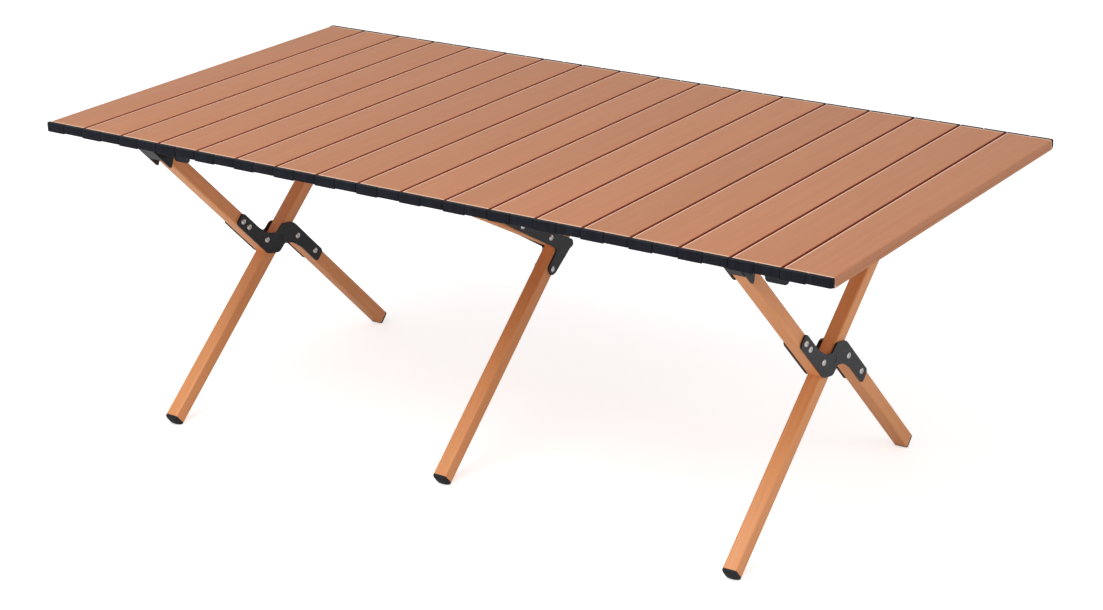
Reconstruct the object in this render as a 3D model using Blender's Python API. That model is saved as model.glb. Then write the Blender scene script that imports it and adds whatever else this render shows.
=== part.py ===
"""Folding camp table with a roll-up slatted top.

X runs along the table, Y from front to back, Z up from the floor.  Two crossed leg frames stand at
the ends and a bent one in the middle.  Each frame folds in its own Y-Z plane, flat bars between the
frames fold them together along X, and the slatted top lifts off and rolls up.
"""
import math

import bmesh
import bpy
from mathutils import Matrix, Vector

# Tabletop
HEIGHT = 0.440            # floor to the top surface
SLAT_COUNT = 18
SLAT_PITCH = 0.0660
SLAT_GAP = 0.0004         # between two slats
SLAT_LENGTH = 0.600       # coloured extrusion, without its caps
SLAT_THICK = 0.0125
SLAT_SKIN = 0.0015
SLAT_LIP = 0.0200         # width of each lip beside the slot in the underside
SLAT_EDGE = 0.0016        # radius of the long upper edges
SLAT_GROOVE = 0.0007      # upper part drawn in on each side
SLAT_SHOULDER = 0.0035    # height of the full-width lower part
CAP_DEPTH = 0.0060
CAP_STEP = 0.0011         # the cap's outer half is this much thinner underneath
SEAM_WIDTH = 0.0009

# Leg tubes
TUBE = 0.0200
TUBE_WALL = 0.0015
TUBE_RADIUS = 0.0022
TUBE_TIP = 0.0100         # tube beyond its hub pin
FRAME_X = {"left": -0.470, "mid": -0.031, "right": 0.430}
HUB_Y = 0.2160            # hub pins in front of and behind the middle
HUB_DROP = 0.0460         # hub pins below the top surface
CROSS_DROP = 0.2312       # crossing pins below the top surface
CROSS_OFFSET = 0.0220     # each half of the offset leg from the crossing pin
CLEARANCE = 0.0003        # between touching pieces
SEGMENTS_PER_METRE = 2800       # of radius, for round solids

# Foot caps
FOOT_RISE = 0.0085        # centre of each tube's square end above the floor
FOOT_FLANGE = 0.0020
FOOT_DOME = 0.0048        # full depth of the dome's curve, below the flange
FOOT_STEM = 0.0120        # plug inside the tube

# Plates and rivets
PLATE = 0.0025
PLATE_ARM = 0.0980        # S plate, from the crossing pin to each end
RIVET_SHANK = 0.0024
RIVET_HEAD = 0.0042
RIVET_RISE = 0.0018
PIN = 0.0040              # radius of the crossing pins
CROSS_RIVETS = ((-0.089, -0.0220), (-0.073, -0.0220), (-0.026, -0.0175), (0.031, 0.0205), (0.0815, 0.0225))

# Middle frame
MID_BACK_Y = 0.2390       # pin of the middle leg in its back hub
MID_HOOK = (-0.1860, 0.0400)    # Y, and drop below the top surface, of the bar that the strut hooks on
KNEE_Y = 0.0499           # where the strut's plates turn on the leg
STRUT_LINE = (0.0486, 0.1670)   # Y and drop of a point on the strut's centre line
KNEE_PIN = 0.0028
KNEE_RIVETS = (0.000, 0.075, 0.150)
KNEE_STRUT = ((0.165, 0.0080), (-0.045, 0.0095))                    # upper edge, along and above the strut
KNEE_UNDER = ((-0.024, -0.0108), (0.078, -0.0078), (0.113, -0.0057), (0.165, -0.0040))
KNEE_HEEL = ((0.0571, -0.0130), (0.0532, -0.0218), (0.0445, -0.0171), (0.0011, -0.0116), (-0.0078, -0.0064))
KNEE_FRONT = {-1: 0.0048, 1: 0.0080}    # plates' edge beside the leg's upper face, left and right

# Hubs and spreader bars
HUB_PLATE = 0.0030
HUB_CHEEK = 0.0030
HUB_HALF_Y = 0.0180
HUB_ROUND = 0.0110        # cheek radius round the pin
HUB_EDGE = {"left": 0.0155, "right": 0.0105}    # end hubs' lower edge, square from the pin
HUB_TAIL = 0.0160         # that edge beyond the pin, down and up the leg
HUB_NOSE = 0.0340
HUB_BEHIND = 0.0075       # cheeks on the pin's inner side
HUB_PIN = 0.0030
HUB_PIN_HEAD = 0.0050
LUG_THICK = 0.0030
LUG_REACH = 0.0520        # lugs, from the frame's plane
LUG_DROP = 0.0430         # lowest edge of a lug below the top surface
WING_DROP = 0.0550        # deeper lugs on the end hubs' right side, their deep part and reach
WING = {"left": (0.0220, 0.0460, 0.0500), "right": (0.0320, 0.0600, 0.0680)}
ARM_PIVOT = 0.0420        # spreader pins from the frame's plane
ARM_HIGH = 0.0120
ARM_THICK = 0.0050
ARM_STUD = 0.0025
ARM_STUD_HEAD = 0.0045

# Worked out from the above
SEAT_Z = HEIGHT - SLAT_THICK - CLEARANCE            # top of the hubs
HUB_Z = HEIGHT - HUB_DROP
CROSS_Z = HEIGHT - CROSS_DROP
ARM_Z = SEAT_Z - 0.0017 - ARM_HIGH / 2
LEG_ANGLE = math.atan2(HUB_Z - CROSS_Z, HUB_Y)
LEG_HALF = math.hypot(HUB_Z - CROSS_Z, HUB_Y)
CROSS_ANGLE = LEG_ANGLE + math.asin(CROSS_OFFSET / LEG_HALF)
INNER = TUBE / 2 - TUBE_WALL
PLATE_IN = TUBE / 2 + CLEARANCE
PLATE_OUT = PLATE_IN + PLATE

COLOURS = {
    "top": ((0.52, 0.27, 0.17, 1), 0.45, 0.2),
    "leg": ((0.47, 0.21, 0.09, 1), 0.38, 0.3),
    "black": ((0.02, 0.022, 0.026, 1), 0.42, 0.0),
    "steel": ((0.72, 0.72, 0.74, 1), 0.28, 1.0),
}


def material(name, kind):
    """A Principled material of its own for one piece."""
    colour, rough, metal = COLOURS[kind]
    mat = bpy.data.materials.new(name)
    mat.use_nodes = True
    shader = mat.node_tree.nodes["Principled BSDF"]
    shader.inputs["Base Color"].default_value = colour
    shader.inputs["Roughness"].default_value = rough
    shader.inputs["Metallic"].default_value = metal
    mat.diffuse_color = colour
    return mat


def loft(rings):
    """Closed solid through rings of points, flat at both ends."""
    bm = bmesh.new()
    rows = [[bm.verts.new(p) for p in ring] for ring in rings]
    n = len(rows[0])
    for low, high in zip(rows, rows[1:]):
        for i in range(n):
            bm.faces.new((low[i], low[(i + 1) % n], high[(i + 1) % n], high[i]))
    bm.faces.new(rows[0][::-1])
    bm.faces.new(rows[-1])
    bmesh.ops.recalc_face_normals(bm, faces=bm.faces)
    return bm


def prism(outline, axis, low, high):
    """Outline pushed along an axis: (y, z) along x, (x, z) along y."""
    place = {"x": lambda p, t: (t, p[0], p[1]), "y": lambda p, t: (p[0], t, p[1])}[axis]
    return loft([[place(p, t) for p in outline] for t in (low, high)])


def box(low, high):
    """Solid between two corners."""
    outline = [(low[1], low[2]), (high[1], low[2]), (high[1], high[2]), (low[1], high[2])]
    return prism(outline, "x", low[0], high[0])


def turned(axis, centre, steps):
    """Solid of revolution round a line along x or y; steps are (place along the line, radius)."""
    rings = []
    segments = 2 * max(4, round(SEGMENTS_PER_METRE / 2 * max(r for _, r in steps)))
    for t, r in steps:
        ring = []
        for i in range(segments):
            a = 2 * math.pi * i / segments
            u, v = centre[0] + r * math.cos(a), centre[1] + r * math.sin(a)
            ring.append((t, u, v) if axis == "x" else (u, t, v))
        rings.append(ring)
    return loft(rings)


def group(*solids):
    """Several solids that don't touch, as one mesh."""
    bm = bmesh.new()
    for solid in solids:
        mesh = bpy.data.meshes.new("piece")
        solid.to_mesh(mesh)
        solid.free()
        bm.from_mesh(mesh)
        bpy.data.meshes.remove(mesh)
    return bm


def rounded(outline, radii, steps=3):
    """Outline with its corners turned into arcs of the radii given."""
    out = []
    n = len(outline)
    for i, r in enumerate(radii):
        p, q, s = (Vector(outline[(i + k) % n]) for k in (-1, 0, 1))
        a, b = (p - q), (s - q)
        turn = a.angle(b)
        if r <= 0 or turn > math.radians(178):
            out.append(tuple(q))
            continue
        reach = min(r / math.tan(turn / 2), 0.48 * a.length, 0.48 * b.length)
        r = reach * math.tan(turn / 2)
        centre = q + (a.normalized() + b.normalized()).normalized() * (r / math.sin(turn / 2))
        start, end = q + a.normalized() * reach - centre, q + b.normalized() * reach - centre
        sweep = start.angle_signed(end)
        for k in range(steps + 1):
            turned_by = Matrix.Rotation(-sweep * k / steps, 2)
            out.append(tuple(centre + turned_by @ start))
    return out


def square(half, radius, steps=2):
    """Square section with rounded corners."""
    corners = [(-half, -half), (half, -half), (half, half), (-half, half)]
    return rounded(corners, [radius] * 4, steps) if radius else corners


def bar(x, start, end, half, radius, start_plane=None, end_plane=None):
    """Square bar in the Y-Z plane at x; each end is square or cut on a plane (point, normal)."""
    a, b = Vector((x, *start)), Vector((x, *end))
    along = (b - a).normalized()
    side = Vector((1, 0, 0))
    up = along.cross(side)
    rings = []
    for origin, plane in ((a, start_plane), (b, end_plane)):
        ring = []
        for u, v in square(half, radius):
            p = origin + side * u + up * v
            if plane:
                at, normal = Vector((x, *plane[0])), Vector((0, *plane[1]))
                p += along * ((at - p).dot(normal) / along.dot(normal))
            ring.append(p)
        rings.append(ring)
    return loft(rings)


def piece(name, body, kind, origin=(0, 0, 0), adds=(), cuts=()):
    """One named solid, with its additions joined and its cuts taken out."""
    obj = place(name, body, origin)
    obj.data.materials.append(material(name, kind))
    jobs = [(solid, "UNION") for solid in adds] + [(solid, "DIFFERENCE") for solid in cuts]
    for i, (solid, operation) in enumerate(jobs):
        tool = place(f"{name}_{operation.lower()}_{i}", solid, origin)
        tool.hide_render = True
        tool.display_type = "WIRE"
        cut = obj.modifiers.new(operation.title(), "BOOLEAN")
        cut.operation = operation
        cut.solver = "EXACT"
        cut.object = tool
    return obj


def place(name, solid, origin):
    """Object whose own origin lies at a point, such as one on its joint's axis."""
    bmesh.ops.translate(solid, verts=solid.verts, vec=-Vector(origin))
    mesh = bpy.data.meshes.new(name)
    solid.to_mesh(mesh)
    solid.free()
    obj = bpy.data.objects.new(name, mesh)
    obj.location = origin
    bpy.context.scene.collection.objects.link(obj)
    return obj


def direction(angle):
    """Unit vector in Y-Z, from the front (-Y) up towards the back (+Y) for angles under 90 degrees."""
    return Vector((math.cos(angle), math.sin(angle)))


def leg_cuts(x, start, end, holes):
    """Bore of a tube and its cross holes; holes are (place, radius)."""
    a, b = Vector(start), Vector(end)
    along = (b - a).normalized()
    bore = bar(x, a - along * 0.03, b + along * 0.03, INNER, 0)
    drilled = [turned("x", at, ((x - TUBE, r), (x + TUBE, r))) for at, r in holes]
    return [bore, *drilled]


def tube(name, x, start, end, origin, start_plane=None, end_plane=None, holes=(), extra=()):
    """Hollow square leg tube with cross holes."""
    body = bar(x, start, end, TUBE / 2, TUBE_RADIUS, start_plane, end_plane)
    return piece(name, body, "leg", origin, cuts=leg_cuts(x, start, end, holes) + list(extra))


def foot(name, x, end, along):
    """Domed plug in a tube's square end, with a small flat where it stands.  along points up the leg."""
    side = Vector((1, 0, 0))
    up = Vector((0, -along.y, along.x))
    centre, axis = Vector((x, *end)), Vector((0, *along))

    def ring(depth, half, radius):
        at = centre - axis * depth
        return [at + side * u + up * v for u, v in square(half, radius)]

    rings = [ring(CLEARANCE, TUBE / 2, TUBE_RADIUS)]
    for k in range(6):
        depth = 0.92 * FOOT_DOME * math.sin(math.pi / 2 * k / 5)
        half = TUBE / 2 * math.sqrt(1 - (depth / FOOT_DOME) ** 2)
        rings.append(ring(CLEARANCE + FOOT_FLANGE + depth, half, min(TUBE_RADIUS + depth / 2, 0.9 * half)))
    stem = loft([ring(CLEARANCE + FOOT_FLANGE / 2, INNER - CLEARANCE, 0), ring(-FOOT_STEM, INNER - CLEARANCE, 0)])
    below = box((x - TUBE, end[0] - 2 * TUBE, -TUBE), (x + TUBE, end[0] + 2 * TUBE, 0))
    return piece(name, loft(rings), "black", (x, end[0], 0), adds=[stem], cuts=[below])


def rivet(x, sign, at):
    """Head outside a plate and shank through its tube's wall, as two solids for one plate."""
    out = x + sign * PLATE_OUT
    head = turned("x", at, ((out - sign * PLATE * 0.3, RIVET_HEAD), (out + sign * 0.0008, RIVET_HEAD),
                            (out + sign * RIVET_RISE, RIVET_HEAD * 0.62)))
    shank = turned("x", at, ((x + sign * (TUBE / 2 - TUBE_WALL - 0.0010), RIVET_SHANK),
                             (x + sign * (PLATE_IN + PLATE * 0.4), RIVET_SHANK)))
    return head, shank


def plate(name, x, sign, outline, rivets, pin_at, pin_radius, origin):
    """Flat plate beside the tubes, with its rivets on it and a hole for the pin that it turns on."""
    ends = sorted((x + sign * PLATE_IN, x + sign * PLATE_OUT))
    body = prism(outline, "x", *ends)
    parts = [rivet(x, sign, at) for at in rivets]
    hole = turned("x", pin_at, ((x + sign * TUBE / 2, pin_radius), (x + sign * (PLATE_OUT + 0.003), pin_radius)))
    return piece(name, body, "black", origin, adds=[group(*(p[0] for p in parts)), group(*(p[1] for p in parts))],
                 cuts=[hole])


def cross_point(u, v):
    """(y, z) of a point given along the offset leg and square to it, from the crossing pin."""
    along = Vector((math.cos(CROSS_ANGLE), -math.sin(CROSS_ANGLE)))
    across = Vector((math.sin(CROSS_ANGLE), math.cos(CROSS_ANGLE)))
    return Vector((0, CROSS_Z)) + along * u + across * v


def s_outline():
    """S plate: two arms over the two half tubes, joined by a step beside the straight leg."""
    edge, inner = CROSS_OFFSET + TUBE / 2, CROSS_OFFSET - TUBE / 2
    half = [(-PLATE_ARM, -inner), (-0.52 * PLATE_ARM, -inner), (-0.28 * PLATE_ARM, -0.60 * inner),
            (-0.13 * PLATE_ARM, 0.15 * inner), (-0.11 * PLATE_ARM, 0.56 * edge), (0.10 * PLATE_ARM, edge)]
    radii = [0.005, 0.040, 0.025, 0.006, 0.008, 0.016]
    half.append((PLATE_ARM, edge))
    points = half + [(-u, -v) for u, v in half]
    return rounded([tuple(cross_point(u, v)) for u, v in points], (radii + [0.005]) * 2, 2)


def end_frame(side):
    """Crossed pair of legs: one straight, one in two offset halves held by a pair of S plates."""
    x = FRAME_X[side]
    cross = Vector((0, CROSS_Z))
    straight = direction(LEG_ANGLE)
    pin_hole = (cross, PIN + CLEARANCE)
    hub_hole = HUB_PIN + CLEARANCE
    back_pin = cross + straight * LEG_HALF
    low_end = cross - straight * ((CROSS_Z - FOOT_RISE) / math.sin(LEG_ANGLE))
    tube(f"{side}_leg", x, low_end, back_pin + straight * TUBE_TIP, (x, *cross),
         holes=[pin_hole, (back_pin, hub_hole)])
    foot(f"{side}_leg_foot", x, low_end, straight)

    down = Vector((math.cos(CROSS_ANGLE), -math.sin(CROSS_ANGLE)))
    square_to = Vector((-straight.y, straight.x))
    gap = TUBE / 2 + CLEARANCE
    stop_front = (tuple(cross + square_to * gap), tuple(square_to))
    stop_back = (tuple(cross - square_to * gap), tuple(square_to))
    front_pin = Vector((-HUB_Y, HUB_Z))
    upper_end, lower_start = cross_point(0, -CROSS_OFFSET), cross_point(0, CROSS_OFFSET)
    back_end = lower_start + down * ((lower_start.y - FOOT_RISE) / math.sin(CROSS_ANGLE))
    rivets = [tuple(cross_point(u, v)) for u, v in CROSS_RIVETS]
    shank = RIVET_SHANK + CLEARANCE
    tube(f"{side}_cross_upper", x, front_pin - down * TUBE_TIP, upper_end, (x, *cross), end_plane=stop_front,
         holes=[(front_pin, hub_hole)] + [(at, shank) for at in rivets[:3]])
    tube(f"{side}_cross_lower", x, lower_start, back_end, (x, *cross), start_plane=stop_back,
         holes=[(at, shank) for at in rivets[3:]])
    foot(f"{side}_cross_foot", x, back_end, -down)
    outline = s_outline()
    outward = math.copysign(1, x)
    for name, sign in (("inner", -outward), ("outer", outward)):
        plate(f"{side}_plate_{name}", x, sign, outline, rivets, cross, PIN + CLEARANCE, (x, *cross))
    reach = PLATE_OUT - 0.0002
    shaft = turned("x", cross, ((x - reach, PIN - 0.0004), (x - reach + 0.0004, PIN), (x + reach - 0.0004, PIN),
                                (x + reach, PIN - 0.0004)))
    piece(f"{side}_pivot_pin", shaft, "black", (x, *cross))


def knee_outline(start, along, knee, leg_along, front):
    """Bent plate: one arm over the strut and one over the leg, with a blunt heel behind their corner."""
    up, leg_up = Vector((along.y, -along.x)), Vector((-leg_along.y, leg_along.x))
    corner = start + along * KNEE_UNDER[0][0] + up * KNEE_UNDER[0][1] - knee
    inner = (corner.dot(leg_along), front)
    on_strut = [start + along * s + up * t for s, t in KNEE_STRUT]
    on_leg = [knee + leg_along * u + leg_up * v for u, v in (*KNEE_HEEL, (-0.0053, front), inner)]
    under = [start + along * s + up * t for s, t in KNEE_UNDER[1:]]
    radii = [0.005, 0.004, 0.004, 0.004, 0.004, 0.006, 0.006, 0.006, 0.004, 0.040, 0.040, 0.004]
    return rounded([tuple(p) for p in (*on_strut, *on_leg, *under)], radii, 2)


def mid_frame():
    """Bent middle frame: a leg up to its back hub, and a strut that hooks into the front hub."""
    x = FRAME_X["mid"]
    back_pin = Vector((MID_BACK_Y, HUB_Z))
    line = Vector((STRUT_LINE[0], HEIGHT - STRUT_LINE[1]))
    hook = Vector((MID_HOOK[0], HEIGHT - MID_HOOK[1]))
    along = (hook - line).normalized()
    leg_along = direction(MID_ANGLE)
    knee = back_pin - leg_along * ((MID_BACK_Y - KNEE_Y) / math.cos(MID_ANGLE))
    low_end = back_pin - leg_along * ((HUB_Z - FOOT_RISE) / math.sin(MID_ANGLE))
    pin_hole = KNEE_PIN + CLEARANCE
    tube("mid_leg", x, low_end, back_pin + leg_along * TUBE_TIP, (x, *back_pin),
         holes=[(knee, pin_hole), (back_pin, HUB_PIN + CLEARANCE)])
    foot("mid_foot", x, low_end, leg_along)
    leg_up = Vector((-leg_along.y, leg_along.x))
    rest = (tuple(knee + leg_up * (TUBE / 2 + CLEARANCE)), tuple(leg_up))
    rivets = [line + along * d for d in KNEE_RIVETS]
    opening = Vector((math.cos(HOOK_OPEN), math.sin(HOOK_OPEN)))
    half = HUB_PIN + 0.0006
    beside = Vector((-opening.y, opening.x)) * half
    mouth = Vector((-opening.y, opening.x)) * half * 2.2
    slot = [hook - opening * half - beside * 0.6, hook - opening * half + beside * 0.6, hook + beside,
            hook + opening * 0.030 + mouth, hook + opening * 0.030 - mouth, hook - beside]
    tube("mid_strut", x, line, hook + along * TUBE_TIP, (x, *knee), start_plane=rest,
         holes=[(at, RIVET_SHANK + CLEARANCE) for at in rivets],
         extra=[prism([tuple(p) for p in slot], "x", x - TUBE, x + TUBE)])
    for name, sign in (("left", -1), ("right", 1)):
        outline = knee_outline(line, along, knee, leg_along, KNEE_FRONT[sign])
        plate(f"mid_plate_{name}", x, sign, outline, rivets, knee, pin_hole, (x, *knee))
    out = PLATE_OUT + CLEARANCE
    shaft = turned("x", knee, ((x - out, KNEE_PIN), (x + out, KNEE_PIN)))
    heads = [turned("x", knee, ((x + s * (out - 0.0001), RIVET_HEAD), (x + s * (out + 0.0009), RIVET_HEAD),
                                (x + s * (out + RIVET_RISE), RIVET_HEAD * 0.62))) for s in (-1, 1)]
    piece("mid_knee_pin", shaft, "steel", (x, *knee), adds=[group(*heads)])


MID_ANGLE = math.atan2(1.7910, 2.0290)      # slope of the middle leg
HOOK_OPEN = math.radians(51.6)              # the notch opens up and back


def lug():
    """Corners of a plain lug from its tip inwards, as (reach from the frame's plane, z)."""
    low = HEIGHT - LUG_DROP
    return [(LUG_REACH, SEAT_Z - 0.0010), (LUG_REACH, ARM_Z - ARM_HIGH / 2 - 0.004), (0.62 * LUG_REACH, low),
            (0.30 * LUG_REACH, low)]


def wing(side):
    """Corners of an end hub's deeper lug, cut away beside the cheek."""
    start, end, tip = WING[side]
    low, high = HEIGHT - WING_DROP, ARM_Z - ARM_HIGH / 2
    return [(tip, SEAT_Z - 0.0010), (tip, high - 0.004), (end, low), (start, low), (start - 0.006, high)]


def hub(name, side, row, lugs, studs, pin):
    """Folded bracket under the slats: a seat, two cheeks with the leg's pin, and lugs with studs."""
    x = FRAME_X[side]
    row_y = HUB_Y * row
    low_y, high_y = min(row_y - HUB_HALF_Y * 0.7, pin[0] - HUB_ROUND), max(row_y + HUB_HALF_Y * 0.7, pin[0] + HUB_ROUND)
    wide = PLATE_IN + 0.0001 + HUB_CHEEK
    seat = box((x - wide - 0.0006, low_y, SEAT_Z - HUB_PLATE), (x + wide + 0.0006, high_y, SEAT_Z))
    base = SEAT_Z - 0.0010
    if side == "mid":
        corners = [(low_y + 0.0004, base), (low_y + 0.0004, SEAT_Z - 0.0110), (pin[0] - HUB_ROUND, pin[1] - HUB_ROUND),
                   (pin[0] + HUB_ROUND, pin[1] - HUB_ROUND), (high_y - 0.0004, SEAT_Z - 0.0110), (high_y - 0.0004, base)]
        radii = [0, 0.004, HUB_ROUND, HUB_ROUND, 0.004, 0]
    else:
        down = Vector((-row * math.cos(CROSS_ANGLE), -math.sin(CROSS_ANGLE)))
        edge = Vector(pin) + Vector((row * math.sin(CROSS_ANGLE), -math.cos(CROSS_ANGLE))) * HUB_EDGE[side]
        nose, tail, behind = edge - down * HUB_NOSE, edge + down * HUB_TAIL, pin[0] - row * HUB_BEHIND
        corners = [(nose.x, base), tuple(nose), tuple(tail), (behind, pin[1] - HUB_BEHIND / 2), (behind, base)]
        radii = [0, 0.003, 0.002, 0.006, 0]
    cheek = rounded(corners, radii)
    inside = PLATE_IN + 0.0001
    cheeks = group(*(prism(cheek, "x", *sorted((x + s * inside, x + s * wide))) for s in (-1, 1)))
    ears = []
    for s, profile in lugs:
        corners = [(inside + 0.0006, base), *profile, (inside + 0.0006, profile[-1][1])]
        outline = rounded([(x + s * u, z) for u, z in corners], [0, 0.003] + [0.004] * (len(profile) - 1) + [0])
        ears.append(prism(outline, "y", row_y - LUG_THICK / 2, row_y + LUG_THICK / 2))
    shaft = turned("x", pin, ((x - inside - 0.001, HUB_PIN), (x + inside + 0.001, HUB_PIN)))
    heads = [turned("x", pin, ((x + s * (wide - 0.001), HUB_PIN_HEAD), (x + s * (wide + 0.0008), HUB_PIN_HEAD),
                               (x + s * (wide + RIVET_RISE), HUB_PIN_HEAD * 0.6))) for s in (-1, 1)]
    pegs, caps = [], []
    for s, facing in studs:
        at = (x + s * ARM_PIVOT, ARM_Z)
        out = LUG_THICK / 2 + 2 * CLEARANCE + ARM_THICK
        pegs.append(turned("y", at, ((row_y, ARM_STUD), (row_y + facing * (out + 0.0010), ARM_STUD))))
        caps.append(turned("y", at, ((row_y + facing * out, ARM_STUD_HEAD),
                                     (row_y + facing * (out + 0.0015), ARM_STUD_HEAD * 0.8))))
    return piece(name, seat, "black", (x, *pin),
                 adds=[cheeks, group(*ears), shaft, group(*heads), group(*pegs), group(*caps)])


def spreader(name, row, hub_side, knee_x, facing, has_peg):
    """Half of a folding bar between two hubs; the outer half carries the knee's peg."""
    x0 = FRAME_X[hub_side]
    s = 1 if knee_x > x0 else -1
    hub_x = x0 + s * ARM_PIVOT
    row_y = HUB_Y * row
    near = row_y + facing * (LUG_THICK / 2 + CLEARANCE)
    far = near + facing * ARM_THICK
    r = ARM_HIGH / 2
    ends = []
    for at, turn in ((min(hub_x, knee_x), 90), (max(hub_x, knee_x), -90)):
        for k in range(7):
            a = math.radians(turn + 180 * k / 6)
            ends.append((at + r * math.cos(a), ARM_Z + r * math.sin(a)))
    body = prism(ends, "y", *sorted((near, far)))
    hole = ARM_STUD + CLEARANCE
    holes = [turned("y", (hub_x, ARM_Z), ((near - facing * 0.002, hole), (far + facing * 0.002, hole)))]
    adds = []
    if has_peg:
        other = -facing * (LUG_THICK / 2 + 2 * CLEARANCE + ARM_THICK)
        adds = [turned("y", (knee_x, ARM_Z), ((near + facing * 0.001, ARM_STUD), (row_y + other * 1.15, ARM_STUD))),
                turned("y", (knee_x, ARM_Z), ((row_y + other, ARM_STUD_HEAD),
                                              (row_y + other - facing * 0.0015, ARM_STUD_HEAD * 0.8)))]
    else:
        holes.append(turned("y", (knee_x, ARM_Z), ((near - facing * 0.002, hole), (far + facing * 0.002, hole))))
    return piece(name, body, "black", (hub_x, row_y, ARM_Z), adds=adds, cuts=holes)


def slats():
    """Row of equal extrusions, open underneath between two lips, closed by a cap at each end."""
    half = (SLAT_PITCH - SLAT_GAP) / 2
    under = -SLAT_THICK
    neck, bend = half - SLAT_GROOVE, under + SLAT_SHOULDER + SLAT_GROOVE
    outline = rounded([(-half, under), (half, under), (half, under + SLAT_SHOULDER), (neck, bend), (neck, 0),
                       (-neck, 0), (-neck, bend), (-half, under + SLAT_SHOULDER)],
                      [0.0006, 0.0006, 0, 0, SLAT_EDGE, SLAT_EDGE, 0, 0], 2)
    end = SLAT_LENGTH / 2
    body = prism(outline, "y", -end - CAP_DEPTH, end + CAP_DEPTH)
    wall, slot = neck - SLAT_SKIN, half - SLAT_LIP
    hollow = [(-slot, under - 0.001), (slot, under - 0.001), (slot, under + SLAT_SKIN), (wall, under + SLAT_SKIN),
              (wall, -SLAT_SKIN), (-wall, -SLAT_SKIN), (-wall, under + SLAT_SKIN), (-slot, under + SLAT_SKIN)]
    room = prism(hollow, "y", -end, end)
    seams, steps = [], []
    for s in (-1, 1):
        outer, inner = s * (end + CAP_DEPTH + 0.002), s * (end + CAP_DEPTH - SEAM_WIDTH)
        seams.append(box((-SEAM_WIDTH / 2, min(outer, inner), under - 0.001),
                         (SEAM_WIDTH / 2, max(outer, inner), 0.001)))
        root = s * (end + CAP_DEPTH * 0.35)
        steps.append(box((SEAM_WIDTH, min(outer, root), under - 0.001), (half + 0.001, max(outer, root), under + CAP_STEP)))
    master = piece("slat_master", body, "top", (0, 0, 0), cuts=[room, group(*seams), group(*steps)])
    bpy.context.view_layer.update()
    shape = bpy.data.meshes.new_from_object(master.evaluated_get(bpy.context.evaluated_depsgraph_get()))
    for obj in [o for o in bpy.context.scene.objects if o.name.startswith("slat_master")]:
        bpy.data.objects.remove(obj)
    for i in range(SLAT_COUNT):
        name = f"slat_{i + 1:02d}"
        obj = bpy.data.objects.new(name, shape.copy())
        obj.data.materials.clear()
        obj.data.materials.append(material(name, "top"))
        obj.location = ((i - (SLAT_COUNT - 1) / 2) * SLAT_PITCH, 0, HEIGHT)
        bpy.context.scene.collection.objects.link(obj)


def shade(obj):
    """Round pieces smooth, edges over 35 degrees sharp."""
    obj.data.shade_smooth()
    obj.data.set_sharp_from_angle(angle=math.radians(35))


def build():
    for old in list(bpy.data.objects):
        bpy.data.objects.remove(old)
    slats()
    for side in ("left", "right"):
        end_frame(side)
    mid_frame()
    for row, row_name in ((-1, "front"), (1, "back")):
        for side, inner in (("left", 1), ("right", -1)):
            hub(f"{side}_{row_name}_hub", side, row, [(-1, lug()), (1, wing(side))], [(inner, -1)],
                (HUB_Y * row, HUB_Z))
            knee = (FRAME_X[side] + FRAME_X["mid"]) / 2
            spreader(f"spreader_{row_name}_{side}_outer", row, side, knee, -1, True)
            spreader(f"spreader_{row_name}_{side}_inner", row, "mid", knee, 1, False)
        pin = (MID_BACK_Y, HUB_Z) if row > 0 else (MID_HOOK[0], HEIGHT - MID_HOOK[1])
        hub(f"mid_{row_name}_hub", "mid", row, [(-1, lug()), (1, lug())], [(-1, 1), (1, 1)], pin)
    for obj in bpy.context.scene.objects:
        if obj.type == "MESH" and not obj.hide_render:
            shade(obj)


build()
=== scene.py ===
import math

import bpy
import numpy as np
from mathutils import Matrix, Vector


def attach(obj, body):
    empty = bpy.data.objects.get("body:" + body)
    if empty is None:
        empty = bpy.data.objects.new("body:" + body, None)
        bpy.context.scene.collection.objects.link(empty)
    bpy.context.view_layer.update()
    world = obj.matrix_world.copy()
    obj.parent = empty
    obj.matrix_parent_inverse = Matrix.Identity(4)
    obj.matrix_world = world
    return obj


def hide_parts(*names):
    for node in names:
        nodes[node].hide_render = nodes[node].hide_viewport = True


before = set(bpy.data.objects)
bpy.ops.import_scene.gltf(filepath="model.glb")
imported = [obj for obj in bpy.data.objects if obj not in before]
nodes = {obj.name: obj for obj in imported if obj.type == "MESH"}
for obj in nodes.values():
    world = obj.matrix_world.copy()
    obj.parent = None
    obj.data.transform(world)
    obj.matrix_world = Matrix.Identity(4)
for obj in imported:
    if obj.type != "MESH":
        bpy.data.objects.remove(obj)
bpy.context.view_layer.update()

# Leg tubes: square aluminium tube, 20 mm across, with a wood-look coating in orange brown.
# The print's fine streaks run along each tube, so the pattern is turned to the tube's slope.
# The coating is satin, with the faint ripple of a baked film.
TUBE_LIGHT = (0.90, 0.382, 0.148, 1)
TUBE_DARK = (0.81, 0.328, 0.118, 1)
TUBE_ROUGH = 0.40
FRONT_BACK_SLOPE = 40.6     # straight tubes climb to the back, degrees from the floor
BACK_FRONT_SLOPE = -45.0    # offset half tubes climb to the front
MIDDLE_SLOPE = 41.4
STRUT_SLOPE = -28.4
STREAK_STRETCH = 40         # length of a streak over its width
STREAK_FINER = 4.5          # scale of the second noise over the first
STREAK_SHARE = 0.4          # part of the second noise in the sum
STREAK_RANGE = (0.36, 0.64)     # noise at the dark and at the light colour
RIPPLE_HEIGHT = 0.0002
RIPPLE_ROUGH = 0.06         # roughness that the ripple adds or takes away


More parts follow.
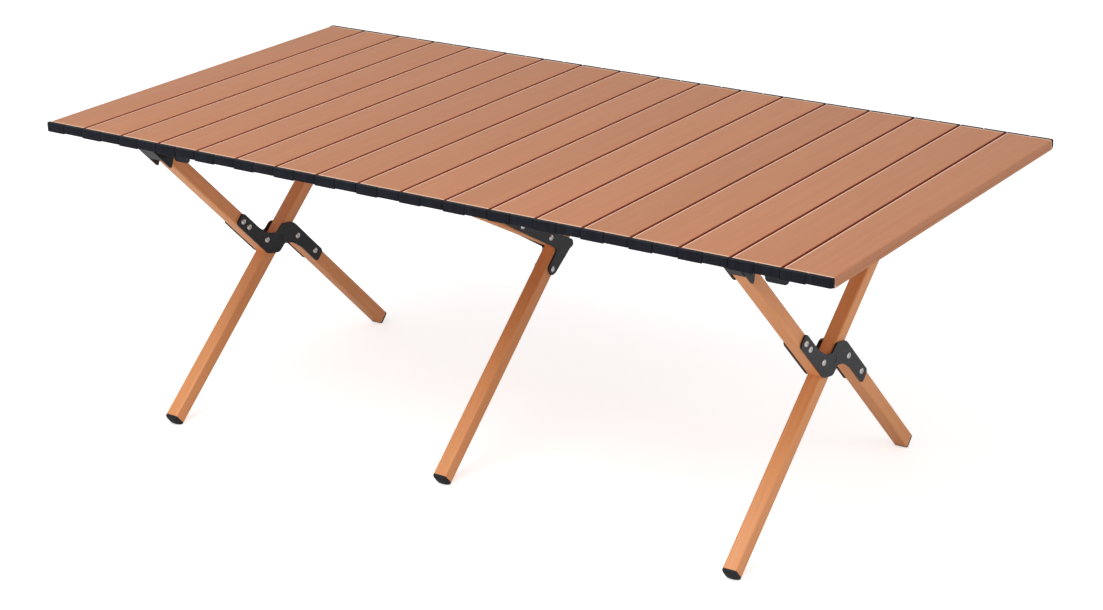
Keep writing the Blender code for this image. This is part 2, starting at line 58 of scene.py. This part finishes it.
def maths(tree, operation, first, second=None):
    """Math node: each operand is a socket to link or a number to set."""
    node = tree.nodes.new("ShaderNodeMath")
    node.operation = operation
    for socket, value in zip(node.inputs, (first, second)):
        if isinstance(value, bpy.types.NodeSocket):
            tree.links.new(value, socket)
        elif value is not None:
            socket.default_value = value
    return node.outputs[0]


def ramp(tree, value, start=0.0, end=1.0, low=0.0, high=1.0):
    """Map Range: low at start, high at end, straight between them and level beyond."""
    node = tree.nodes.new("ShaderNodeMapRange")
    for name, number in (("From Min", start), ("From Max", end), ("To Min", low), ("To Max", high)):
        node.inputs[name].default_value = number
    tree.links.new(value, node.inputs["Value"])
    return node.outputs["Result"]


def mixed(tree, factor, first, second):
    """Colour from first to second by factor; each is a socket or a plain colour."""
    node = tree.nodes.new("ShaderNodeMix")
    node.data_type = "RGBA"
    tree.links.new(factor, node.inputs["Factor"])
    for socket, value in ((node.inputs[6], first), (node.inputs[7], second)):
        if isinstance(value, bpy.types.NodeSocket):
            tree.links.new(value, socket)
        else:
            socket.default_value = value
    return node.outputs[2]


def node_group(name, inputs, outputs):
    """Empty group with its sockets, and its input and output nodes."""
    group = bpy.data.node_groups.new(name, "ShaderNodeTree")
    for label, kind, start in inputs:
        made = group.interface.new_socket(name=label, in_out="INPUT", socket_type=kind)
        if start is not None:
            made.default_value = start
    for label, kind in outputs:
        group.interface.new_socket(name=label, in_out="OUTPUT", socket_type=kind)
    return group, group.nodes.new("NodeGroupInput"), group.nodes.new("NodeGroupOutput")


def noise(tree, vector, scale, detail):
    """Noise texture's value at vector; scale is a socket."""
    texture = tree.nodes.new("ShaderNodeTexNoise")
    texture.inputs["Detail"].default_value = detail
    tree.links.new(vector, texture.inputs["Vector"])
    tree.links.new(scale, texture.inputs["Scale"])
    return texture.outputs["Fac"]


def streaks():
    """Node group: a colour and a height that change slowly along Y and quickly across it.
    The value is 0.6 n(f p) + 0.4 n(4.5 f p), with n a noise, f the fineness and p = (x, y / 40, z)."""
    group, inside, outside = node_group(
        "Printed Streaks",
        (("Vector", "NodeSocketVector", None), ("Light", "NodeSocketColor", (1, 1, 1, 1)),
         ("Dark", "NodeSocketColor", (0, 0, 0, 1)), ("Fineness", "NodeSocketFloat", 300.0)),
        (("Color", "NodeSocketColor"), ("Height", "NodeSocketFloat")))
    link = group.links.new
    stretch = group.nodes.new("ShaderNodeMapping")
    stretch.inputs["Scale"].default_value = (1, 1 / STREAK_STRETCH, 1)
    link(inside.outputs["Vector"], stretch.inputs["Vector"])
    place, fineness = stretch.outputs["Vector"], inside.outputs["Fineness"]
    blend = group.nodes.new("ShaderNodeMix")
    blend.inputs["Factor"].default_value = STREAK_SHARE
    link(noise(group, place, fineness, 3), blend.inputs["A"])
    link(noise(group, place, maths(group, "MULTIPLY", fineness, STREAK_FINER), 2), blend.inputs["B"])
    height = ramp(group, blend.outputs["Result"], *STREAK_RANGE)
    link(mixed(group, height, inside.outputs["Dark"], inside.outputs["Light"]), outside.inputs["Color"])
    link(height, outside.inputs["Height"])
    return group


def ripple():
    """Node group: the small waves of a sprayed or moulded surface, as a normal and a value.
    The height is one noise of the given scale."""
    group, inside, outside = node_group(
        "Surface Ripple",
        (("Vector", "NodeSocketVector", None), ("Scale", "NodeSocketFloat", 900.0),
         ("Depth", "NodeSocketFloat", 0.2)),
        (("Normal", "NodeSocketVector"), ("Value", "NodeSocketFloat")))
    link = group.links.new
    bump = group.nodes.new("ShaderNodeBump")
    bump.inputs["Distance"].default_value = RIPPLE_HEIGHT
    waves = noise(group, inside.outputs["Vector"], inside.outputs["Scale"], 2)
    link(inside.outputs["Depth"], bump.inputs["Strength"])
    link(waves, bump.inputs["Height"])
    link(bump.outputs["Normal"], outside.inputs["Normal"])
    link(waves, outside.inputs["Value"])
    return group


STREAKS, RIPPLE = streaks(), ripple()


def finish(name, rough, metal=0.0, shine=0.5):
    """An empty Principled material, its shader, and the piece's own coordinates."""
    mat = bpy.data.materials.new(name)
    mat.use_nodes = True
    tree = mat.node_tree
    shader = tree.nodes["Principled BSDF"]
    shader.inputs["Roughness"].default_value = rough
    shader.inputs["Metallic"].default_value = metal
    shader.inputs["Specular IOR Level"].default_value = shine
    place = tree.nodes.new("ShaderNodeTexCoord")
    return mat, tree, shader, place.outputs["Object"]


def rippled(tree, shader, vector, scale, depth, rough):
    """Feeds the ripple to the normal, and a little of it to the roughness."""
    waves = tree.nodes.new("ShaderNodeGroup")
    waves.node_tree = RIPPLE
    waves.inputs["Scale"].default_value = scale
    waves.inputs["Depth"].default_value = depth
    tree.links.new(vector, waves.inputs["Vector"])
    tree.links.new(waves.outputs["Normal"], shader.inputs["Normal"])
    spread = ramp(tree, waves.outputs["Value"], low=rough - RIPPLE_ROUGH, high=rough + RIPPLE_ROUGH)
    tree.links.new(spread, shader.inputs["Roughness"])


def streaked(tree, vector, turn, light, dark, fineness):
    """Streaks along the piece: the pattern's Y axis is turned about X by the slope given."""
    mapping = tree.nodes.new("ShaderNodeMapping")
    mapping.inputs["Rotation"].default_value = (math.radians(-turn), 0, 0)
    tree.links.new(vector, mapping.inputs["Vector"])
    print_on = tree.nodes.new("ShaderNodeGroup")
    print_on.node_tree = STREAKS
    print_on.inputs["Light"].default_value = light
    print_on.inputs["Dark"].default_value = dark
    print_on.inputs["Fineness"].default_value = fineness
    tree.links.new(mapping.outputs["Vector"], print_on.inputs["Vector"])
    return print_on.outputs["Color"]


def tube_coating(name, slope):
    mat, tree, shader, vector = finish(name, TUBE_ROUGH)
    tree.links.new(streaked(tree, vector, slope, TUBE_LIGHT, TUBE_DARK, 260), shader.inputs["Base Color"])
    rippled(tree, shader, vector, 700, 0.12, TUBE_ROUGH)
    return mat


rising = tube_coating("coated tube, rising to the back", FRONT_BACK_SLOPE)
falling = tube_coating("coated tube, rising to the front", BACK_FRONT_SLOPE)
for side in ("left", "right"):
    nodes[f"{side}_leg"].material_slots[0].material = rising
    nodes[f"{side}_cross_upper"].material_slots[0].material = falling
    nodes[f"{side}_cross_lower"].material_slots[0].material = falling
nodes["mid_leg"].material_slots[0].material = tube_coating("coated middle leg", MIDDLE_SLOPE)
nodes["mid_strut"].material_slots[0].material = tube_coating("coated middle strut", STRUT_SLOPE)

# Foot plugs: black nylon, moulded with a low dome and pressed into the tubes' square lower ends.
# They are moulded matt, and dusty where they touch the floor.
PLUG = (0.014, 0.015, 0.018, 1)
PLUG_DUST = (0.060, 0.056, 0.052, 1)
PLUG_ROUGH = 0.55
DUST_TOP = 0.004


def matt_nylon():
    mat, tree, shader, vector = finish("matt nylon", PLUG_ROUGH, shine=0.3)
    apart = tree.nodes.new("ShaderNodeSeparateXYZ")
    tree.links.new(vector, apart.inputs["Vector"])
    rise = ramp(tree, apart.outputs["Z"], end=DUST_TOP)
    tree.links.new(mixed(tree, rise, PLUG_DUST, PLUG), shader.inputs["Base Color"])
    rippled(tree, shader, vector, 1400, 0.5, PLUG_ROUGH)
    return mat


plug = matt_nylon()
for name in ("left_leg_foot", "left_cross_foot", "right_leg_foot", "right_cross_foot", "mid_foot"):
    nodes[name].material_slots[0].material = plug

# S plates, bent plates and crossing pins: 2.5 mm steel, stamped and powder coated in a bluish black.
# The powder leaves a fine ripple and a soft shine.
POWDER_LIGHT = (0.020, 0.023, 0.030, 1)
POWDER_DARK = (0.010, 0.012, 0.016, 1)


def powder_coat(name, rough, depth=0.5):
    mat, tree, shader, vector = finish(name, rough, shine=0.35)
    tree.links.new(streaked(tree, vector, 0, POWDER_LIGHT, POWDER_DARK, 90), shader.inputs["Base Color"])
    rippled(tree, shader, vector, 1600, depth, rough)
    return mat


plate_coat = powder_coat("powder coated plate", 0.34)
for name, node in nodes.items():
    if "_plate_" in name or name.endswith("_pivot_pin"):
        node.material_slots[0].material = plate_coat

# Rivet heads: bright zinc-plated steel, domed by the rivet set, with a shallow dimple from the mandrel.
# Each sits over the plain head that the plate carries.
HEAD_RADIUS = 0.0044
HEAD_RISE = 0.0021
DIMPLE = 0.34               # share of the radius
DIMPLE_DEPTH = 0.35         # share of the rise
PLATE_FACE = 0.0128         # plates' outer faces, from the frame's plane
FRAME_X = {"left": -0.470, "mid": -0.031, "right": 0.430}
TABLE_TOP = 0.440
CROSSING = (0.0, TABLE_TOP - 0.2312)
SLOPE = math.radians(45.04)
CROSS_RIVETS = ((-0.089, -0.0220), (-0.073, -0.0220), (-0.026, -0.0175), (0.031, 0.0205), (0.0815, 0.0225))
ZINC_DARK = (0.62, 0.62, 0.63, 1)
ZINC_LIGHT = (0.84, 0.84, 0.83, 1)
ZINC_ROUGH = 0.26


def surface(name, grids, material, body, smooth=35):
    """One mesh from grids of points.  Each grid's rows are closed rings joined to their neighbours,
    and its first and last rings are filled flat."""
    points, faces, start = [], [], 0
    for grid in grids:
        rows, cols = grid.shape[:2]
        i, j = np.meshgrid(np.arange(rows - 1), np.arange(cols), indexing="ij")
        k = (j + 1) % cols
        quads = np.stack([i * cols + j, i * cols + k, (i + 1) * cols + k, (i + 1) * cols + j], -1)
        first = range(start + cols - 1, start - 1, -1)
        last = range(start + (rows - 1) * cols, start + rows * cols)
        faces += (quads.reshape(-1, 4) + start).tolist() + [list(first), list(last)]
        points.append(grid.reshape(-1, 3))
        start += rows * cols
    mesh = bpy.data.meshes.new(name)
    mesh.from_pydata(np.concatenate(points).tolist(), [], faces)
    mesh.update()
    if signed_volume(mesh) < 0:
        mesh.flip_normals()
    mesh.shade_smooth()
    mesh.set_sharp_from_angle(angle=math.radians(smooth))
    piece = bpy.data.objects.new(name, mesh)
    piece.data.materials.append(material)
    bpy.context.scene.collection.objects.link(piece)
    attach(piece, body)
    return piece


def signed_volume(mesh):
    """Sum of the corner tetrahedra of the mesh's triangles: positive where its faces point out."""
    mesh.calc_loop_triangles()
    corners = np.array([v.co[:] for v in mesh.vertices])
    a, b, c = (corners[[t.vertices[k] for t in mesh.loop_triangles]] for k in range(3))
    return float(np.einsum("ij,ij->i", a, np.cross(b, c)).sum())


def turned(steps, centre, around=28):
    """Surface of revolution about X: ring k lies steps[k][0] along it, at radius steps[k][1]."""
    along, radius = np.array(steps).T[:, :, None]
    angle = np.linspace(0, 2 * np.pi, around, endpoint=False)[None, :]
    y, z = radius * np.cos(angle), radius * np.sin(angle)
    return np.stack([np.broadcast_to(along, y.shape), y, z], -1) + np.array(centre)


def dome(centre, sign, radius):
    """Rivet head: height = rise (sqrt(1 - r^3) - e (1 - (r / d)^2)^2), with r from 1 at the rim to 0
    in the middle.  The last term is the dimple, of depth share e, and holds inside r < d."""
    r = np.linspace(1, 0.02, 14)
    dimple = np.clip(1 - (r / DIMPLE) ** 2, 0, 1) ** 2
    height = HEAD_RISE * (1 - r ** 3) ** 0.5 - HEAD_RISE * DIMPLE_DEPTH * dimple
    steps = [(0, radius)] + [(sign * h, radius * k) for h, k in zip(height, r)]
    return turned(steps, centre)


def bright_steel():
    mat, tree, shader, vector = finish("zinc plated steel", ZINC_ROUGH, 1.0)
    cloud = tree.nodes.new("ShaderNodeTexNoise")
    cloud.inputs["Scale"].default_value = 400
    tree.links.new(vector, cloud.inputs["Vector"])
    tree.links.new(mixed(tree, cloud.outputs["Fac"], ZINC_DARK, ZINC_LIGHT), shader.inputs["Base Color"])
    rippled(tree, shader, vector, 2500, 0.25, ZINC_ROUGH)
    return mat


steel = bright_steel()


def cross_place(u, v):
    """(y, z) of a point u along the offset leg and v square to it, from the crossing."""
    return (CROSSING[0] + u * math.cos(SLOPE) + v * math.sin(SLOPE),
            CROSSING[1] - u * math.sin(SLOPE) + v * math.cos(SLOPE))


def heads(name, x, places, body, radius=HEAD_RADIUS, face=PLATE_FACE, material=steel):
    """Rivet heads on both faces of a frame, in one piece."""
    grids = [dome((x + sign * face, *at), sign, radius) for sign in (-1, 1) for at in places]
    piece = surface(name, grids, material, body)
    return piece


cross_places = [cross_place(u, v) for u, v in CROSS_RIVETS]
for side in ("left", "right"):
    heads(f"{side}_rivet_heads", FRAME_X[side], cross_places, f"{side}_cross_body")

# Middle frame: a strut riveted between two bent plates, which turn on the leg on one bright rivet.
# Its rivet heads are the same as the end frames'.
KNEE_RIVETS = (0.000, 0.075, 0.150)
STRUT_AT = Vector((0.0486, TABLE_TOP - 0.1670))
STRUT_HOOK = Vector((-0.1860, TABLE_TOP - 0.0400))
along_strut = (STRUT_HOOK - STRUT_AT).normalized()
knee_places = [tuple(STRUT_AT + along_strut * distance) for distance in KNEE_RIVETS]
heads("mid_rivet_heads", FRAME_X["mid"], knee_places, "mid_strut_body")
nodes["mid_knee_pin"].material_slots[0].material = steel

# Hubs: folded steel brackets under the slats, powder coated as the plates are.  The middle hubs' pin
# heads are bright and the end hubs' black, and the end frames' front hubs have a folded web.
# The spreader bars between them are flat bar in the same coat, a little duller.
HUB_FACE = 0.0134           # cheeks' outer faces, from the frame's plane
PIN_HEAD_RADIUS = 0.0052
HUB_PINS = {"left_front": (-0.216, 0.394), "left_back": (0.216, 0.394), "right_front": (-0.216, 0.394),
            "right_back": (0.216, 0.394), "mid_front": (-0.186, 0.400), "mid_back": (0.239, 0.394)}
WEB_EDGE = {"left": 0.0154, "right": 0.0114}    # outer face of the web, square from the pin
WEB_THICK = 0.0010
WEB_RUN = (-0.0330, -0.0050)    # along the leg, up from the pin
WEB_HALF = 0.0106

hub_coat = powder_coat("powder coated hub", 0.40)
bar_coat = powder_coat("powder coated bar", 0.46, 0.35)
for name, node in nodes.items():
    if name.endswith("_hub"):
        node.material_slots[0].material = hub_coat
    if name.startswith("spreader_"):
        node.material_slots[0].material = bar_coat
for hub, pin in HUB_PINS.items():
    coat = steel if hub.startswith("mid") else hub_coat
    heads(f"{hub}_pin_heads", FRAME_X[hub.split("_")[0]], [pin], f"{hub}_hub_body", PIN_HEAD_RADIUS, HUB_FACE,
          material=coat)


def web(side):
    """Folded web between a front hub's cheeks: a flat strip along the leg, u and n square to each other,
    at pin + u (cos a, -sin a) - n (sin a, cos a), carried straight along X."""
    pin_y, pin_z = HUB_PINS[f"{side}_front"]
    low, high = WEB_RUN
    outer, inner = WEB_EDGE[side], WEB_EDGE[side] - WEB_THICK
    u, n = np.array([(low, outer), (high, outer), (high, inner), (low, inner)]).T
    y = pin_y + u * math.cos(SLOPE) - n * math.sin(SLOPE)
    z = pin_z - u * math.sin(SLOPE) - n * math.cos(SLOPE)
    x = np.array([-WEB_HALF, WEB_HALF])[:, None] + FRAME_X[side]
    return np.stack(np.broadcast_arrays(x, y[None, :], z[None, :]), -1)


for side in ("left", "right"):
    fold = surface(f"{side}_front_hub_web", [web(side)], hub_coat, f"{side}_front_hub_body")

# Slats: extruded aluminium channels with rounded upper edges, coated in a pinkish brown wood print.
# Above a low ledge the sides stand back, which leaves a narrow groove between two slats.  The print
# runs along each slat and differs slightly in tone from the next slat's.  Each slat's left edge and its
# ends at the caps carry a painted highlight, and its right edge and the groove's walls painted shade.
SLAT_PITCH = 0.066
SLAT_GAP = 0.0004
SLAT_COUNT = 18
SLAT_END = 0.300            # coloured extrusion, from the middle
SLAT_THICK = 0.0125
SLAT_SKIN = 0.0015
SLAT_LIP = 0.020
GROOVE = 0.0011             # upper part drawn in on each side
SHOULDER = 0.0035           # height of the ledge
EDGE_RADIUS = 0.0014
OUTER_RADIUS = 0.0030       # outer edge of the first and of the last slat
LOWER_ROUND = 0.0006        # lower outer corners
INNER_ROUND = 0.0004        # corners of the lips and the hollow
LEDGE_ROUND = 0.0002        # corners of the ledge
HALF = (SLAT_PITCH - SLAT_GAP) / 2
SLATS = [(i, f"{i + 1:02d}", (i - (SLAT_COUNT - 1) / 2) * SLAT_PITCH) for i in range(SLAT_COUNT)]
TOP_LIGHT = (0.580, 0.240, 0.117, 1)
TOP_DARK = (0.535, 0.215, 0.102, 1)
# painted highlight colour, for each slat's left edge and for its ends at the caps
PAINTED_HIGHLIGHT = (1.0, 0.66, 0.48, 1)
TOP_ROUGH = 0.42
# painted shade colour, browning the groove's walls and each slat's right edge
PAINTED_GROOVE_SHADE = (0.240, 0.030, 0.006, 1)
TONE_RANGE = (0.96, 1.04)       # value of the darkest and the lightest slat
LEFT_HIGHLIGHT_STRIP = (0.046, 0.066)     # where the painted highlight on a slat's left edge fades out, in shares of the pitch
RIGHT_SHADE_STRIP = (0.957, 0.972)    # where the painted shade on its right edge fades in
RIM_HIGHLIGHT_STRIP = (0.0030, 0.0018)    # where the painted highlight rim at the caps fades in, from the extrusion's end
# strength of the painted highlight rim
RIM_HIGHLIGHT_STRENGTH = 0.8
WALL_SHADE_STRIP = (0.0008, 0.0018)   # where painted shade turns the groove's walls brown, below the top
OUTER_STRIP = 0.004             # strip free of painted shade beside the two outer edges


def wood_print():
    """With s = x / pitch and f its fraction: the tone is a noise of floor(s).  Small f and the ends at
    the caps get a painted highlight.  Large f and the groove's walls get painted brown shade, but not
    beside the two outer edges."""
    mat, tree, shader, vector = finish("wood print on aluminium", TOP_ROUGH, shine=0.35)
    apart = tree.nodes.new("ShaderNodeSeparateXYZ")
    tree.links.new(vector, apart.inputs["Vector"])
    x, y, z = (apart.outputs[axis] for axis in "XYZ")
    slats = maths(tree, "DIVIDE", x, SLAT_PITCH)
    part = maths(tree, "FRACT", slats)
    tone, tint = tree.nodes.new("ShaderNodeTexWhiteNoise"), tree.nodes.new("ShaderNodeHueSaturation")
    tone.noise_dimensions = "1D"
    tree.links.new(maths(tree, "FLOOR", slats), tone.inputs["W"])
    value = ramp(tree, tone.outputs["Value"], low=TONE_RANGE[0], high=TONE_RANGE[1])
    tree.links.new(value, tint.inputs["Value"])
    tree.links.new(streaked(tree, vector, 0, TOP_LIGHT, TOP_DARK, 210), tint.inputs["Color"])

    # painted highlight on each slat's left edge, and a painted highlight rim at the caps
    left_edge_highlight = ramp(tree, part, *LEFT_HIGHLIGHT_STRIP, 1.0, 0.0)
    rim_start, rim_full = (SLAT_END - distance for distance in RIM_HIGHLIGHT_STRIP)
    rim = ramp(tree, maths(tree, "ABSOLUTE", y), rim_start, rim_full, high=RIM_HIGHLIGHT_STRENGTH)
    pale = mixed(tree, maths(tree, "MAXIMUM", left_edge_highlight, rim), tint.outputs["Color"], PAINTED_HIGHLIGHT)

    # painted brown shade on the groove's walls and on each slat's right edge, kept off the two outer edges
    wall_start, wall_full = (TABLE_TOP - depth for depth in WALL_SHADE_STRIP)
    deep = ramp(tree, z, wall_start, wall_full)
    off_centre = maths(tree, "ABSOLUTE", maths(tree, "SUBTRACT", part, 0.5))
    at_side = maths(tree, "GREATER_THAN", off_centre, 0.5 - (GROOVE + SLAT_GAP) / SLAT_PITCH)
    wall = maths(tree, "MULTIPLY", deep, at_side)
    shade = maths(tree, "MAXIMUM", wall, ramp(tree, part, *RIGHT_SHADE_STRIP))
    inner = maths(tree, "LESS_THAN", maths(tree, "ABSOLUTE", x), SLAT_COUNT / 2 * SLAT_PITCH - OUTER_STRIP)
    brown = mixed(tree, maths(tree, "MULTIPLY", shade, inner), pale, PAINTED_GROOVE_SHADE)
    tree.links.new(brown, shader.inputs["Base Color"])
    rippled(tree, shader, vector, 500, 0.10, TOP_ROUGH)
    return mat


def arcs(corners, radii, steps=5):
    """Closed outline with round corners: each corner becomes an arc that touches both its edges."""
    p = np.array(corners, float)
    before, after = np.roll(p, 1, 0) - p, np.roll(p, -1, 0) - p
    before /= np.linalg.norm(before, axis=1)[:, None]
    after /= np.linalg.norm(after, axis=1)[:, None]
    half_angle = np.arccos(np.clip((before * after).sum(1), -1, 1)) / 2
    r = np.array(radii, float)
    reach = r / np.tan(half_angle)
    t = np.linspace(0, 1, steps)[None, :, None]
    start, end = p + before * reach[:, None], p + after * reach[:, None]
    inward = (before + after) / np.linalg.norm(before + after, axis=1)[:, None]
    middle = p + inward * (r / np.sin(half_angle))[:, None]
    a, b = start - middle, end - middle
    blend = a[:, None] * (1 - t) + b[:, None] * t
    size = np.linalg.norm(blend, axis=2, keepdims=True)
    return (middle[:, None] + blend / np.maximum(size, 1e-9) * r[:, None, None]).reshape(-1, 2)


def channel(middle, left, right):
    """C section, open underneath between two lips, carried straight along Y: half width HALF up to the
    ledge, HALF - GROOVE above it, with upper edges of the two radii given."""
    neck, low = HALF - GROOVE, -SLAT_THICK
    ledge, floor = low + SHOULDER, low + SLAT_SKIN
    wall, slot = neck - SLAT_SKIN, HALF - SLAT_LIP
    corners = [(-HALF, low), (-slot, low), (-slot, floor), (-wall, floor), (-wall, -SLAT_SKIN),
               (wall, -SLAT_SKIN), (wall, floor), (slot, floor), (slot, low), (HALF, low),
               (HALF, ledge), (neck, ledge + GROOVE), (neck, 0),
               (-neck, 0), (-neck, ledge + GROOVE), (-HALF, ledge)]
    radii = [LOWER_ROUND, *[INNER_ROUND] * 8, LOWER_ROUND, LEDGE_ROUND, LEDGE_ROUND, right,
             left, LEDGE_ROUND, LEDGE_ROUND]
    section = arcs(corners, radii)
    along = np.array([-SLAT_END, SLAT_END])[:, None]
    x, z = section[None, :, 0] + middle, section[None, :, 1] + TABLE_TOP
    return np.stack(np.broadcast_arrays(x, along, z), -1)


printed = wood_print()
for i, number, middle in SLATS:
    left, right = (OUTER_RADIUS if i == end else EDGE_RADIUS for end in (0, SLAT_COUNT - 1))
    slat = surface(f"slat_{number}_extrusion", [channel(middle, left, right)], printed, f"slat_{number}_body")
    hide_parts(f"slat_{number}")

# Slat caps: black nylon mouldings that close both ends of each slat.
# Each is made in two halves with a seam between them; the right half is thinner underneath.
CAP_DEPTH = 0.006
CAP_STEP = 0.0011
CAP_GAP = 0.0001            # between the extrusion's end and the cap
SEAM = 0.0009
CAP_ROUND = 0.0008
CAP_UPPER = 0.0014          # edges along Y, above and below
CAP_LOWER = 0.0009
CAP_CORNER = 0.0048         # plan radius of the top's four corners
CORNER_TURN = 1.25          # how far round its quarter the corner is drawn, in radians
CORE_HALF = 0.004           # half width of the block behind the seam
CORE_DROP = 0.0006          # its top, below the cap's
CORE_RISE = 0.0015          # its underside, above the cap's
CORE_CORNER = 0.0005        # radius of its upper edges
THINNEST = 1e-4             # smallest radius left on a drawn-in rim
NYLON_LIGHT = (0.013, 0.016, 0.024, 1)
NYLON_DARK = (0.008, 0.009, 0.014, 1)
NYLON_ROUGH = 0.48


def nylon():
    mat, tree, shader, vector = finish("moulded nylon", NYLON_ROUGH, shine=0.12)
    tree.links.new(streaked(tree, vector, 90, NYLON_LIGHT, NYLON_DARK, 120), shader.inputs["Base Color"])
    rippled(tree, shader, vector, 1200, 0.35, NYLON_ROUGH)
    return mat


def drawn_in(rest, radius):
    """How far a quarter round of the radius stands back where rest is left before its end."""
    if not radius:
        return 0
    return radius * (1 - math.sqrt(max(0, 1 - max(0, 1 - rest / radius) ** 2)))


def cushioned(left, right, low, high, start, end, corner, plan=(0, 0)):
    """Block along Y whose outer rim is a quarter round: at angle t it is drawn in by r (1 - cos t).
    plan gives the radii of its outer corners seen from above: x is drawn in by R (1 - cos u) there."""
    rings = []
    full = abs(end) - abs(start)
    depths = [0, *(full - CAP_CORNER * (1 - np.sin(np.linspace(0, CORNER_TURN, 6))))]
    if not any(plan):
        depths += [*(full - CAP_ROUND * (1 - np.sin(np.linspace(0, np.pi / 2, 5))))]
    for depth in sorted({float(d) for d in depths if d >= 0}):
        rest = full - depth
        draw = drawn_in(rest, CAP_ROUND)
        lower, upper = max(CAP_LOWER - draw, THINNEST), max(corner - draw, THINNEST)
        x0 = left + max(draw, drawn_in(rest, plan[0]))
        x1 = right - max(draw, drawn_in(rest, plan[1]))
        ring = arcs([(x0, low + draw), (x1, low + draw), (x1, high - draw), (x0, high - draw)],
                    [lower, lower, upper, upper])
        along = np.full(len(ring), start + math.copysign(depth, end))
        rings.append(np.stack([ring[:, 0], along, ring[:, 1]], -1))
    return np.array(rings)


nylon_black = nylon()
top, bottom = TABLE_TOP, TABLE_TOP - SLAT_THICK
for i, number, middle in SLATS:
    first, last = (CAP_CORNER if i == end else 0 for end in (0, SLAT_COUNT - 1))
    for row, sign in (("front", -1), ("back", 1)):
        near, far = sign * (SLAT_END + CAP_GAP), sign * (SLAT_END + CAP_DEPTH)
        core = sign * (SLAT_END + CAP_DEPTH - SEAM)
        halves = [cushioned(middle - HALF, middle - SEAM / 2, bottom, top, near, far, CAP_UPPER, (first, 0)),
                  cushioned(middle + SEAM / 2, middle + HALF, bottom + CAP_STEP, top, near, far, CAP_UPPER,
                            (0, last)),
                  cushioned(middle - CORE_HALF, middle + CORE_HALF, bottom + CORE_RISE, top - CORE_DROP,
                            near, core, CORE_CORNER)]
        cap = surface(f"slat_{number}_{row}_cap", halves, nylon_black, f"slat_{number}_body")
        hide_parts(f"slat_{number}")

# Studio: a plain pale floor that runs out of view, a broad soft light above the front and a weak one
# from the right, under an even pale sky.
FLOOR_SIZE = 14.0
FLOOR_Z = -0.0002
FLOOR_GREY = (0.86, 0.86, 0.86, 1)
FLOOR_GLOW = 0.60           # only as the camera sees it
SKY_LIGHT = 0.50            # on the table; the camera sees it at 1
LIGHT_AIM = (0, 0, 0.3)
LIGHTS = (("overhead softbox", (-0.3, -1.6, 2.6), 2.6, 47),     # name, place, size, watts
          ("right fill", (2.6, -0.6, 1.6), 1.6, 10))


def floor_paint():
    mat, tree, shader, _ = finish("pale floor", 0.9, shine=0.1)
    shader.inputs["Base Color"].default_value = FLOOR_GREY
    shader.inputs["Emission Color"].default_value = (1, 1, 1, 1)
    seen = tree.nodes.new("ShaderNodeLightPath")
    glow = maths(tree, "MULTIPLY", seen.outputs["Is Camera Ray"], FLOOR_GLOW)
    tree.links.new(glow, shader.inputs["Emission Strength"])
    return mat


floor_mesh = bpy.data.meshes.new("floor")
reach = FLOOR_SIZE / 2
floor_corners = [(-reach, -reach), (reach, -reach), (reach, reach), (-reach, reach)]
floor_mesh.from_pydata([(x, y, FLOOR_Z) for x, y in floor_corners], [], [(0, 1, 2, 3)])
floor = bpy.data.objects.new("floor", floor_mesh)
floor.data.materials.append(floor_paint())
bpy.context.scene.collection.objects.link(floor)


def soft_light(name, place, size, watts):
    lamp = bpy.data.lights.new(name, "AREA")
    lamp.shape = "DISK"
    lamp.size = size
    lamp.energy = watts
    stand = bpy.data.objects.new(name, lamp)
    stand.location = place
    stand.rotation_euler = (Vector(LIGHT_AIM) - Vector(place)).to_track_quat("-Z", "Y").to_euler()
    bpy.context.scene.collection.objects.link(stand)


for light in LIGHTS:
    soft_light(*light)
world = bpy.data.worlds.new("pale studio")
world.use_nodes = True
tree = world.node_tree
sky = tree.nodes["Background"]
sky.inputs["Color"].default_value = (1.0, 1.0, 1.0, 1)
ray = tree.nodes.new("ShaderNodeLightPath")
tree.links.new(ramp(tree, ray.outputs["Is Camera Ray"], low=SKY_LIGHT), sky.inputs["Strength"])
bpy.context.scene.world = world
bpy.context.scene.view_settings.view_transform = "Standard"

# Camera: a long lens from the right front, well above the tabletop and looking down on it.
# Its place and turn come from the table's proportions in the photograph.
PHOTO_WIDTH, PHOTO_HEIGHT = 1103, 610
FOCAL = 2413.2              # in photograph pixels
CENTRE = (586.7, 295.6)     # where the lens looks, in photograph pixels
PLACE = (1.729, -2.510, 1.351)
RIGHT, DOWN, FORWARD = (0.8371, 0.5469, -0.0136), (0.1816, -0.3012, -0.9361), (-0.5161, 0.7811, -0.3514)
lens = bpy.data.cameras.new("camera")
lens.sensor_width = 36
lens.lens = FOCAL / PHOTO_WIDTH * lens.sensor_width
lens.shift_x = -(CENTRE[0] - PHOTO_WIDTH / 2) / PHOTO_WIDTH
lens.shift_y = (CENTRE[1] - PHOTO_HEIGHT / 2) / PHOTO_WIDTH
camera = bpy.data.objects.new("camera", lens)
turn = Matrix((RIGHT, [-v for v in DOWN], [-v for v in FORWARD])).transposed()
camera.matrix_world = Matrix.Translation(PLACE) @ turn.to_4x4()
bpy.context.scene.collection.objects.link(camera)
bpy.context.scene.camera = camera
